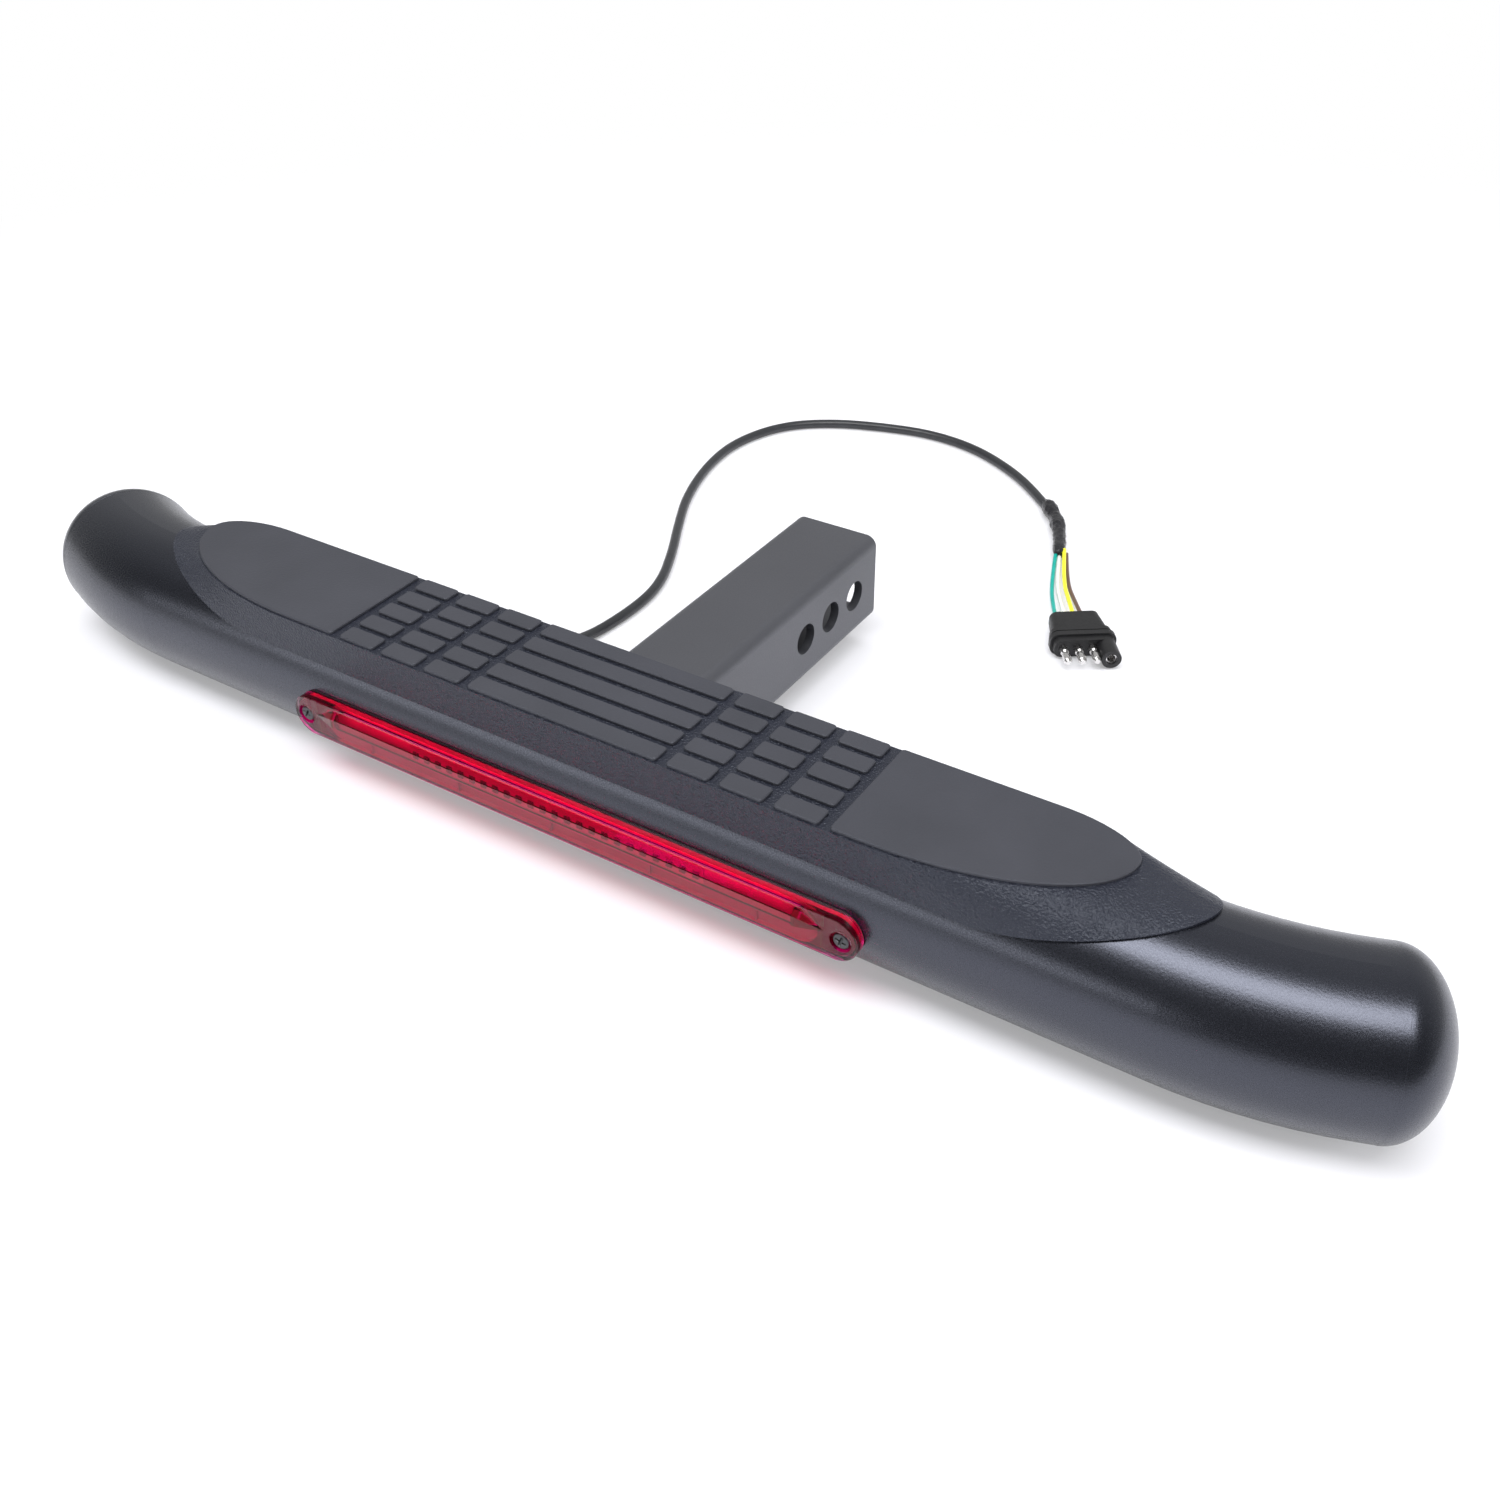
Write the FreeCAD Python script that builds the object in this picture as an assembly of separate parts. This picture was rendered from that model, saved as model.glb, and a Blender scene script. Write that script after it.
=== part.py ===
import FreeCAD, Part
import math
import os

# Hitch receiver step: a bent tubular step bar on a square shank, with a moulded step pad,
# a red light bar on the front and a trailer cable with a flat four-way connector.
# Millimetres. X runs along the bar, +Y along the shank towards the vehicle, +Z up.
# The origin is the middle hitch pin hole, on the shank's centre line.

V = FreeCAD.Vector

# Step bar
bar_d = 76.2
bar_wall = 2.0
bar_straight = 558.0
bend_radius = 200.0
bend_deg = 20.0
bend_tail = 5.5

# End caps
cap_height = 24.5
cap_wall = 2.0
cap_spigot = 12.0
cap_fit = 0.15
cap_edge = 0.5

# Shank and its hitch pin holes
shank_side = 50.8
shank_wall = 4.8
shank_corner = 6.0
pin_hole_d = 17.0
pin_pitch = 25.4
pin_count = 3
first_pin = 23.0
pin_to_bar = 164.0
weld_leg = 5.0

# Step pad
pad_gap = 0.2
pad_floor = 1.6
pad_block_rise = 1.8
pad_half = 31.0
pad_shoulder = 0.9
pad_offset = -9.5
pad_near_start = 160.0
pad_far_start = 222.0
pad_tip_x = 261.0
pad_tip_y = 14.0
skirt_half = 33.4
skirt_near_start = 195.0
skirt_far_start = 238.0
skirt_tip_x = 286.0
skirt_tip_y = 9.0
skirt_thick = 1.5
rib_length = 105.6
rib_rows = 5
row_gap = 3.2
column_gap = 5.3
block_length = 21.5
block_columns = 3
block_round = 1.7
tread_chamfer = 0.45
pad_wall = 2.6
pad_rib_pitch = 44.0
pad_cells = 4
notch_clearance = 1.0
stud_places = (-176.0, -66.0, 66.0, 176.0)
stud_d = 7.6
stud_slot = 1.6
stud_barb_d = 9.2
stud_reach = 7.0
stud_clearance = 0.3

# Light bar
light_length = 321.0
light_height = 22.4
light_drop = 3.6
light_front = 6.4
lens_wall = 1.6
gasket_thick = 1.0
base_web = 1.8
base_fit = 0.3
light_screw_inset = 8.0
light_screw_spacing = light_length - 2 * light_screw_inset
ridge_rise = 3.1
ridge_end_room = 28.5
ridge_length = light_length - 2 * ridge_end_room
ridge_tip = 14.0
ridge_foot = 11.8
ridge_crest = 5.2
ridge_lift = 3.8
lens_edge = 0.6
reflector_thick = 0.5
divider_count = 5
divider_pitch = light_screw_spacing / (divider_count + 0.5)
board_lift = 1.9
board_end_room = 48.0
board_length = ridge_length - 2 * board_end_room
board_width = 9.0
board_thick = 0.8
led_count = 24
led_side = 3.0
led_rise = 0.8
screw_d = 4.0
screw_head_d = 8.0
screw_head_rise = 2.4
screw_sink = 2.6
screw_reach = 9.0
screw_clearance = 0.2
lead_d = 4.4

# Cable, wires and connector
cable_d = 6.0
cable_x = -112.0
cable_drop = 14.0
grommet_hole_d = 11.0
grommet_flange_d = 16.0
grommet_rise = 2.0
wire_d = 2.4
tape_d = 10.5
connector_pitch = 8.0
connector_depth = 30.0
connector_front_width = 37.0
connector_rear_width = 28.0
connector_thick = 13.0
connector_turn_deg = 35.5
connector_x = 136.2
connector_y = 89.7
bullet_d = 4.6
bullet_reach = 14.0
socket_d = 11.0
socket_reach = 12.5

# Sizes that follow from the ones above
bar_r = bar_d / 2
shank_reach = pin_to_bar + pin_pitch * (pin_count // 2) + first_pin
floor_z = -bar_r
pad_groove_z = bar_r + pad_gap + pad_floor
pad_top_z = pad_groove_z + pad_block_rise
light_z = -light_drop
board_z = light_z + board_lift
light_front_y = -(bar_r + light_front)
base_front_y = -(bar_r + gasket_thick + base_web)
bar_place = V(0, -pin_to_bar, 0)

# The cable's route from the grommet to the tape, in the part's own frame
cable_route = [
    (-112.0, -138.0, -14.0),
    (-112.0, -98.0, -14.0),
    (-110.0, -48.0, -35.1),
    (-105.0, -6.0, -35.1),
    (-108.0, 27.0, -35.1),
    (-123.5, 61.5, -35.1),
    (-141.5, 94.0, -35.1),
    (-159.5, 129.5, -35.1),
    (-173.0, 174.0, -35.1),
    (-176.0, 214.0, -35.1),
    (-162.5, 252.5, -35.1),
    (-134.5, 275.0, -35.1),
    (-101.0, 287.5, -35.1),
    (-66.0, 295.0, -35.1),
    (-31.0, 290.5, -35.1),
    (1.0, 275.5, -35.1),
    (28.0, 256.5, -35.1),
    (49.5, 235.5, -35.1),
]
tape_route = [
    (47.0, 238.0, -32.8),
    (60.0, 224.0, -32.8),
    (72.0, 203.0, -32.8),
    (80.5, 181.0, -33.4),
]
wire_routes = {
    "wire_green": [(77.6, 184.0, -33.4), (89.0, 152.0, -36.9), (101.0, 127.0, -35.4), (112.4, 105.9, -31.6)],
    "wire_white": [(80.4, 183.2, -34.8), (92.0, 152.5, -36.9), (105.0, 130.0, -34.6), (116.8, 109.1, -31.6)],
    "wire_yellow": [(82.0, 186.0, -31.8), (95.0, 155.0, -34.4), (108.0, 133.0, -32.4), (120.9, 112.0, -31.6)],
    "wire_brown": [(84.0, 185.4, -34.0), (95.5, 160.0, -36.9), (109.0, 139.0, -35.0), (125.4, 115.2, -31.6)],
}
lead_route = [
    (0.0, -203.0, -3.6),
    (0.0, -178.0, -3.6),
    (-55.0, -166.0, -9.0),
    (-112.0, -164.0, -14.0),
    (-112.0, -138.0, -14.0),
]


def save(name, shape, in_bar_frame=True):
    """Writes one piece, moved from the bar's frame to the part's frame."""
    if in_bar_frame:
        shape = shape.copy()
        shape.translate(bar_place)
    shape.exportStep("parts/" + name + ".step")
    print(name, "solids", len(shape.Solids), "volume", round(shape.Volume), shape.isValid())


def rod(radius, start, direction, length):
    return Part.makeCylinder(radius, length, start, direction)


def fuse_all(shapes):
    first = shapes[0]
    return first.fuse(shapes[1:]).removeSplitter() if len(shapes) > 1 else first


def polygon_face(points):
    return Part.Face(Part.makePolygon(points + [points[0]]))


def rounded_box(x0, x1, y0, y1, z0, z1, radius):
    box = Part.makeBox(x1 - x0, y1 - y0, z1 - z0, V(x0, y0, z0))
    uprights = [e for e in box.Edges if abs(e.tangentAt(e.FirstParameter).z) > 0.99]
    return box.makeFillet(radius, uprights)


def top_edges(shape, z):
    return [e for e in shape.Edges if all(abs(v.Point.z - z) < 1e-4 for v in e.Vertexes)]


# Cords: straight runs joined by arcs that touch them

def bend_points(before, corner, after):
    back = (before - corner)
    ahead = (after - corner)
    shorter = min(back.Length, ahead.Length)
    turn = math.pi - back.getAngle(ahead)
    radius = 0.45 * shorter / math.tan(turn / 2)
    reach = 0.45 * shorter
    start = corner + back.normalize() * reach
    end = corner + ahead.normalize() * reach
    half = math.pi / 2 - turn / 2
    centre = corner + (back + ahead).normalize() * (radius / math.sin(half))
    middle = centre + (corner - centre).normalize() * radius
    return start, middle, end, radius, turn


def cord(route, diameter, label):
    points = [V(*p) for p in route]
    edges = []
    here = points[0]
    tightest = None
    for before, corner, after in zip(points, points[1:], points[2:]):
        start, middle, end, radius, turn = bend_points(before, corner, after)
        edges.append(Part.LineSegment(here, start).toShape())
        edges.append(Part.Arc(start, middle, end).toShape())
        here = end
        tightest = radius if tightest is None else min(tightest, radius)
    edges.append(Part.LineSegment(here, points[-1]).toShape())
    path = Part.Wire(edges)
    ring = Part.Wire([Part.Circle(points[0], points[1] - points[0], diameter / 2).toShape()])
    tube = path.makePipeShell([ring], True, True)
    expected = math.pi * diameter ** 2 / 4 * path.Length
    print(label, "length", round(path.Length, 1), "tightest bend", round(tightest, 1),
          "volume ratio", round(tube.Volume / expected, 4))
    return tube


# Step bar

def bar_solid(radius):
    """The bent bar as a full round rod of one radius."""
    half = bar_straight / 2
    pieces = [rod(radius, V(-half, 0, 0), V(1, 0, 0), bar_straight)]
    for side in (-1, 1):
        disc = Part.Face(Part.Wire([Part.Circle(V(side * half, 0, 0), V(1, 0, 0), radius).toShape()]))
        pieces.append(disc.revolve(V(side * half, bend_radius, 0), V(0, 0, 1), side * bend_deg))
        end, direction = bar_end(side)
        pieces.append(rod(radius, end - direction * bend_tail, direction, bend_tail))
    return fuse_all(pieces)


def bar_end(side):
    """Centre and outward direction of one end of the bar."""
    turn = math.radians(bend_deg)
    direction = V(side * math.cos(turn), math.sin(turn), 0)
    foot = V(side * (bar_straight / 2 + bend_radius * math.sin(turn)),
             bend_radius * (1 - math.cos(turn)), 0)
    return foot + direction * bend_tail, direction


def bar_tube():
    tube = bar_solid(bar_r).cut(bar_solid(bar_r - bar_wall))
    holes = [rod((stud_d + 2 * stud_clearance) / 2, V(x, 0, 0), V(0, 0, 1), bar_d) for x in stud_places]
    holes.append(rod(lead_d / 2 + 1.5, V(0, 0, light_z), V(0, -1, 0), bar_d))
    holes.append(rod(grommet_hole_d / 2, V(cable_x, 0, -cable_drop), V(0, 1, 0), bar_d))
    for side in (-1, 1):
        start = V(side * light_screw_spacing / 2, 0, light_z)
        holes.append(rod((screw_d + screw_clearance) / 2, start, V(0, -1, 0), bar_d))
    return tube.cut(holes)


def end_cap(side):
    """A pressed dome with a spigot that slides into the bar."""
    spigot_r = bar_r - bar_wall - cap_fit
    inner_r = spigot_r - cap_wall
    outer = []
    steps = 14
    for k in range(steps + 1):
        angle = math.pi / 2 * k / steps
        outer.append(V(cap_edge + (cap_height - cap_edge) * math.sin(angle), bar_r * math.cos(angle), 0))
    inner = []
    for k in range(steps + 1):
        angle = math.pi / 2 * k / steps
        inner.append(V((cap_height - cap_wall) * math.sin(angle), inner_r * math.cos(angle), 0))
    outer_curve = Part.BSplineCurve()
    outer_curve.interpolate(outer, InitialTangent=V(1, 0, 0), FinalTangent=V(0, -1, 0))
    inner_curve = Part.BSplineCurve()
    inner_curve.interpolate(inner, InitialTangent=V(1, 0, 0), FinalTangent=V(0, -1, 0))
    rim = [outer[0], V(0, bar_r - cap_edge, 0), V(0, spigot_r, 0), V(-cap_spigot + 1, spigot_r, 0),
           V(-cap_spigot, spigot_r - 1, 0), V(-cap_spigot, inner_r, 0), inner[0]]
    edges = [outer_curve.toShape(), Part.makeLine(outer[-1], inner[-1]), inner_curve.toShape()]
    edges += [Part.makeLine(a, b) for a, b in zip(rim, rim[1:])]
    profile = Part.Face(Part.Wire(Part.__sortEdges__(edges)))
    dome = profile.revolve(V(0, 0, 0), V(1, 0, 0), 360)
    end, direction = bar_end(side)
    dome.rotate(V(0, 0, 0), V(0, 0, 1), math.degrees(math.atan2(direction.y, direction.x)))
    dome.translate(end)
    return dome


# Shank and weld

def square_bar(side, corner, start_y, end_y):
    half = side / 2
    box = Part.makeBox(side, end_y - start_y, side, V(-half, start_y, -half))
    long_edges = [e for e in box.Edges if abs(e.tangentAt(e.FirstParameter).y) > 0.99]
    return box.makeFillet(corner, long_edges)


def shank_tube():
    outer = square_bar(shank_side, shank_corner, 0, shank_reach)
    inner = square_bar(shank_side - 2 * shank_wall, shank_corner - shank_wall + 0.8, -1, shank_reach + 1)
    tube = outer.cut(inner).cut(rod(bar_r, V(-bar_d, 0, 0), V(1, 0, 0), 2 * bar_d))
    holes = []
    for k in range(pin_count):
        y = shank_reach - first_pin - k * pin_pitch
        holes.append(rod(pin_hole_d / 2, V(-shank_side, y, 0), V(1, 0, 0), 2 * shank_side))
    return tube.cut(holes)


def shank_weld():
    """A fillet weld all round the shank's coped end."""
    bar = rod(bar_r, V(-bar_d, 0, 0), V(1, 0, 0), 2 * bar_d)
    shank = square_bar(shank_side, shank_corner, 0, bar_d)
    joined = bar.fuse(shank)
    near_y = 0.2 * bar_r
    joint = []
    for edge in joined.Edges:
        middle = edge.valueAt((edge.FirstParameter + edge.LastParameter) / 2)
        on_bar = abs(math.hypot(middle.y, middle.z) - bar_r) < 1e-3
        if on_bar and middle.y > near_y and abs(middle.x) < shank_side:
            joint.append(edge)
    return joined.makeFillet(weld_leg, joint).cut(joined)


# Step pad

def outline(half, near_start, far_start, tip_x, tip_y, height, steps=8):
    """A closed outline seen from above, near side along -Y, with leaning rounded ends.
    height gives the Z of a point of the outline from its Y."""
    def place(x, y):
        return V(x, y, height(y))

    def arc(points):
        curve = Part.BSplineCurve()
        curve.interpolate(points)
        return curve.toShape()

    def near_end(side):
        turns = [math.pi / 2 * k / steps for k in range(steps + 1)]
        return [place(side * (near_start + (tip_x - near_start) * math.sin(t)),
                      tip_y - (tip_y + half) * math.cos(t)) for t in turns]

    def far_end(side):
        turns = [math.pi / 2 * k / steps for k in range(steps + 1)]
        return [place(side * (far_start + (tip_x - far_start) * math.cos(t)),
                      tip_y + (half - tip_y) * math.sin(t)) for t in turns]

    edges = [Part.makeLine(place(-near_start, -half), place(near_start, -half)),
             arc(near_end(1)), arc(far_end(1)),
             Part.makeLine(place(far_start, half), place(-far_start, half)),
             arc(far_end(-1)[::-1]), arc(near_end(-1)[::-1])]
    return Part.Wire(edges)


def skirt_outline(radius):
    def height(y):
        return math.sqrt(radius ** 2 - y ** 2)
    return outline(skirt_half * radius / (bar_r + skirt_thick), skirt_near_start, skirt_far_start,
                   skirt_tip_x, skirt_tip_y, height)


def plateau_outline(grow, z):
    wire = outline(pad_half + grow, pad_near_start, pad_far_start, pad_tip_x + grow, pad_tip_y,
                   lambda y: z)
    wire.translate(V(pad_offset, 0, 0))
    return wire


def pad_body():
    """The pad's saddle: a flat top, a skirt that falls to the bar, and a round underside."""
    inside = outline(0.4 * pad_half, skirt_near_start, skirt_far_start, skirt_tip_x,
                     0.4 * skirt_tip_y, lambda y: 0.3 * bar_r)
    wires = [inside, skirt_outline(bar_r - 0.5), skirt_outline(bar_r + skirt_thick),
             plateau_outline(pad_shoulder, pad_groove_z)]
    body = Part.makeLoft(wires, True, True)
    return body.cut(bar_solid(bar_r + pad_gap))


def tread_rows():
    """The Y span of each row of blocks, from the near edge to the far edge."""
    width = (2 * pad_half - (rib_rows - 1) * row_gap) / rib_rows
    return [(-pad_half + k * (width + row_gap), -pad_half + k * (width + row_gap) + width)
            for k in range(rib_rows)]


def tread_block(x0, x1, y0, y1):
    block = rounded_box(x0, x1, y0, y1, pad_groove_z - 0.4, pad_top_z, block_round)
    return block.makeChamfer(tread_chamfer, top_edges(block, pad_top_z))


def tread_blocks():
    blocks = []
    for y0, y1 in tread_rows():
        blocks.append(tread_block(-rib_length / 2, rib_length / 2, y0, y1))
        for side in (-1, 1):
            for column in range(block_columns):
                near = rib_length / 2 + column_gap + column * (block_length + column_gap)
                ends = sorted((side * near, side * (near + block_length)))
                blocks.append(tread_block(ends[0], ends[1], y0, y1))
    return blocks


def tread_end(side):
    """The plain raised field at one end of the pad."""
    start = rib_length / 2 + column_gap + block_columns * (block_length + column_gap)
    field = Part.Face(plateau_outline(0, pad_groove_z - 0.4)).extrude(V(0, 0, pad_block_rise + 0.4))
    reach = pad_tip_x + abs(pad_offset) - start + 10
    box = Part.makeBox(reach, 3 * pad_half, 10, V(start if side > 0 else -start - reach, -1.5 * pad_half,
                                                   pad_groove_z - 2))
    field = field.common(box)
    uprights = [e for e in field.Edges
                if abs(e.tangentAt(e.FirstParameter).z) > 0.99 and abs(abs(e.Vertexes[0].X) - start) < 0.1]
    field = field.makeFillet(block_round, uprights)
    return field.makeChamfer(tread_chamfer, top_edges(field, pad_top_z))


def pad_cell_cuts():
    """Hollow cells under both shoulders, with cross ribs left between them."""
    cuts = []
    top = pad_groove_z - pad_floor
    for side in (-1, 1):
        y0 = 0.42 * pad_half if side > 0 else -(pad_half - pad_wall)
        depth = pad_half - pad_wall - 0.42 * pad_half
        for k in range(-pad_cells, pad_cells):
            x0 = k * pad_rib_pitch + pad_wall / 2
            cuts.append(Part.makeBox(pad_rib_pitch - pad_wall, depth, 0.9 * bar_r,
                                     V(x0, y0, top - 0.9 * bar_r)))
    return cuts


def pad_stud(x):
    """A split snap stud that reaches through its hole in the bar."""
    bottom = bar_r - bar_wall - stud_reach
    shaft = rod(stud_d / 2, V(x, 0, bottom), V(0, 0, 1), stud_reach + bar_wall + pad_gap + pad_floor / 2)
    barb_top = bar_r - bar_wall - 1.2
    barb = Part.makeCone(stud_d / 2 - 1.2, stud_barb_d / 2, barb_top - bottom, V(x, 0, bottom))
    slot = Part.makeBox(stud_barb_d + 2, stud_slot, stud_reach + 1,
                        V(x - stud_barb_d / 2 - 1, -stud_slot / 2, bottom - 1))
    return shaft.fuse(barb).cut(slot)


def shank_notch():
    """The gap in the far skirt where the shank and its weld leave the bar."""
    half = shank_side / 2 + weld_leg + notch_clearance
    top = shank_side / 2 + weld_leg / 2
    return Part.makeBox(2 * half, bar_r, 2 * top, V(-half, pad_half / 2, -top))


def step_pad():
    body = pad_body().cut(pad_cell_cuts() + [shank_notch()])
    raised = tread_blocks() + [tread_end(-1), tread_end(1)]
    studs = [pad_stud(x) for x in stud_places]
    return body.fuse(raised + studs).removeSplitter()


# Light bar

def stadium(length, height, y0, y1):
    """A flat bar with round ends, standing on the bar's front, between two Y values."""
    half = length / 2 - height / 2
    middle = Part.makeBox(2 * half, y1 - y0, height, V(-half, y0, light_z - height / 2))
    ends = [rod(height / 2, V(side * half, y0, light_z), V(0, 1, 0), y1 - y0) for side in (-1, 1)]
    return middle.fuse(ends).removeSplitter()


def light_screw_holes(radius):
    return [rod(radius, V(side * light_screw_spacing / 2, light_front_y - 5, light_z), V(0, 1, 0), bar_d)
            for side in (-1, 1)]


def front_of(shape, radius):
    """What lies in front of a round bar of this radius."""
    return shape.cut(rod(radius, V(-light_length, 0, 0), V(1, 0, 0), 2 * light_length))


def light_gasket():
    body = stadium(light_length - 1, light_height - 1, -(bar_r + gasket_thick), 0)
    body = front_of(body, bar_r).common(rod(bar_r + gasket_thick, V(-light_length, 0, 0), V(1, 0, 0),
                                            2 * light_length))
    holes = light_screw_holes(screw_d / 2 + screw_clearance)
    holes.append(rod(lead_d / 2 + 1.5, V(0, 0, light_z), V(0, -1, 0), bar_d))
    return body.cut(holes)


def light_base():
    """The back plate, rounded behind to sit on the gasket."""
    inset = 2 * (lens_wall + base_fit)
    body = stadium(light_length - inset, light_height - inset, base_front_y, 0)
    body = front_of(body, bar_r + gasket_thick)
    holes = light_screw_holes(screw_d / 2 + screw_clearance)
    holes.append(rod(lead_d / 2, V(0, 0, light_z), V(0, -1, 0), bar_d))
    return body.cut(holes)


def ridge(grow, foot_y, end_tip):
    """The raised spine of the lens; grow is negative for its hollow inside."""
    foot = ridge_foot / 2 + grow
    crest = ridge_crest / 2 + 0.6 * grow
    front = light_front_y - ridge_rise - grow
    z = light_z + ridge_lift
    half = ridge_length / 2 + grow
    section = [V(-half, foot_y, z - foot), V(-half, front, z - crest),
               V(-half, front, z + crest), V(-half, foot_y, z + foot)]
    spine = polygon_face(section).extrude(V(2 * half, 0, 0))
    if not end_tip:
        return [spine]
    pieces = [spine]
    for side in (-1, 1):
        corners = [V(side * half, p.y, p.z) for p in section]
        base = Part.makePolygon(corners + [corners[0]])
        point = Part.Vertex(V(side * (half + ridge_tip), foot_y, z - 1.6))
        pieces.append(Part.makeLoft([base, point], True, True))
    return pieces


def light_lens():
    """The clear red cover: a shallow tray with ears, screw bosses and a raised spine."""
    shell = stadium(light_length, light_height, light_front_y, 0)
    front_edges = [e for e in shell.Edges if all(abs(v.Point.y - light_front_y) < 1e-4 for v in e.Vertexes)]
    shell = front_of(shell.makeChamfer(lens_edge, front_edges), bar_r + gasket_thick)
    shell = shell.fuse(ridge(0, light_front_y + 0.3, True)).removeSplitter()
    inset = 2 * (lens_wall + base_fit / 2)
    seat = stadium(light_length - inset, light_height - inset, base_front_y, 1)
    hollow_length = light_screw_spacing - screw_head_d - 14
    hollow = stadium(hollow_length, light_height - inset, light_front_y + lens_wall, 0)
    shell = shell.cut([seat, hollow] + ridge(-lens_wall, light_front_y + lens_wall + 0.1, False))
    sinks = [rod(screw_head_d / 2 + 1.1, V(side * light_screw_spacing / 2, light_front_y - 5, light_z),
                 V(0, 1, 0), 5 + screw_sink) for side in (-1, 1)]
    return shell.cut(sinks + light_screw_holes(screw_d / 2 + screw_clearance))


def light_reflector():
    """A thin bright tray behind the board, with low upright dividers."""
    back = base_front_y - reflector_thick
    height = light_height - 2 * (lens_wall + base_fit) - 1.0
    length = light_screw_spacing - screw_head_d - 16
    tray = stadium(length, height, back, base_front_y)
    depth = back - (light_front_y + lens_wall) - 0.2
    dividers = []
    for k in range(divider_count):
        x = (k - (divider_count - 1) / 2) * divider_pitch
        for z0, z1 in ((board_z + board_width / 2 + 0.5, light_z + height / 2),
                       (light_z - height / 2, board_z - board_width / 2 - 0.5)):
            dividers.append(Part.makeBox(1.0, depth, z1 - z0, V(x - 0.5, back - depth, z0)))
    return tray.fuse(dividers).removeSplitter().cut(rod(lead_d / 2, V(0, 0, light_z), V(0, -1, 0), bar_d))


def light_board():
    back = base_front_y - reflector_thick
    return Part.makeBox(board_length, board_thick, board_width,
                        V(-board_length / 2, back - board_thick, board_z - board_width / 2))


def light_leds():
    front = base_front_y - reflector_thick - board_thick
    pitch = board_length / led_count
    leds = []
    for k in range(led_count):
        x = (k - (led_count - 1) / 2) * pitch
        leds.append(Part.makeBox(led_side, led_rise, led_side,
                                 V(x - led_side / 2, front - led_rise, board_z - led_side / 2)))
    return Part.makeCompound(leds)


def light_screw(side):
    """A cross-recessed pan head screw, its head sunk in the lens."""
    seat = light_front_y + screw_sink
    x = side * light_screw_spacing / 2
    head = rod(screw_head_d / 2, V(x, seat - screw_head_rise, light_z), V(0, 1, 0), screw_head_rise)
    rim = [e for e in head.Edges if all(abs(v.Point.y - (seat - screw_head_rise)) < 1e-4 for v in e.Vertexes)]
    head = head.makeFillet(0.45 * screw_head_rise, rim)
    shaft = rod(screw_d / 2, V(x, seat - 0.1, light_z), V(0, 1, 0), screw_reach + 0.1)
    tip = Part.makeCone(screw_d / 2, 0.4, screw_d, V(x, seat + screw_reach, light_z), V(0, 1, 0))
    body = head.fuse([shaft, tip]).removeSplitter()
    arm = 0.6 * screw_head_d
    depth = 0.7 * screw_head_rise
    slots = [Part.makeBox(arm, depth, 1.1, V(x - arm / 2, seat - screw_head_rise - 0.01, light_z - 0.55)),
             Part.makeBox(1.1, depth, arm, V(x - 0.55, seat - screw_head_rise - 0.01, light_z - arm / 2))]
    return body.cut(slots)


# Cable entry and connector

def cable_grommet():
    """A rubber grommet that grips the edge of the hole behind the bar."""
    axis = V(0, 1, 0)
    start = V(cable_x, 0, -cable_drop)
    surface = math.sqrt(bar_r ** 2 - cable_drop ** 2)
    lip = rod(grommet_flange_d / 2, start, axis, surface + grommet_rise)
    lip = lip.cut(rod(bar_r, V(cable_x - 20, 0, 0), V(1, 0, 0), 40))
    neck = rod(grommet_hole_d / 2, start + axis * (surface - 8), axis, 9)
    inner = rod(grommet_flange_d / 2 - 1, start + axis * (surface - 8), axis, 8)
    inner = inner.common(rod(bar_r - bar_wall, V(cable_x - 20, 0, 0), V(1, 0, 0), 40))
    return neck.fuse([lip, inner]).removeSplitter().cut(rod(cable_d / 2, start, axis, bar_d))


def tape_wrap():
    """A lumpy wrap of tape over the joint between the cable and its wires."""
    core = cord(tape_route, tape_d * 0.8, "tape core")
    points = [V(*p) for p in tape_route]
    lumps = []
    for k in range(5):
        share = (k + 0.5) / 5
        index = min(int(share * 3), 2)
        spot = points[index] + (points[index + 1] - points[index]) * (share * 3 - index)
        radius = tape_d / 2 * (1.0 - 0.09 * abs(k - 1.5))
        ball = Part.makeSphere(radius)
        stretch = FreeCAD.Matrix()
        stretch.scale(1.0, 1.25, 0.86)
        ball = ball.transformGeometry(stretch)
        ball.rotate(V(0, 0, 0), V(0, 0, 1), 30 + 14 * k)
        ball.translate(V(spot.x, spot.y, floor_z + radius * 0.86 + 0.05))
        lumps.append(ball)
    wrap = core.fuse(lumps).removeSplitter()
    under = Part.makeBox(bar_straight, bar_straight, bar_r, V(-bar_straight / 2, 0, floor_z - bar_r))
    wires = [cord(wire_routes[name], wire_d, name + " in tape") for name in sorted(wire_routes)]
    return wrap.cut([under, cord(cable_route, cable_d, "cable in tape")] + wires)


def connector_frame(shape):
    """Turns a piece from the connector's frame, front at the origin facing -Y, into place."""
    shape.rotate(V(0, 0, 0), V(0, 0, 1), connector_turn_deg)
    shape.translate(V(connector_x, connector_y, floor_z + connector_thick / 2))
    return shape


def connector_slab(width_front, width_rear, y0, y1, thick, radius):
    plan = [V(-width_front / 2, y0, -thick / 2), V(width_front / 2, y0, -thick / 2),
            V(width_rear / 2, y1, -thick / 2), V(-width_rear / 2, y1, -thick / 2)]
    slab = polygon_face(plan).extrude(V(0, 0, thick))
    return slab.makeFillet(radius, [e for e in slab.Edges if abs(e.tangentAt(e.FirstParameter).y) > 0.9])


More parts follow.
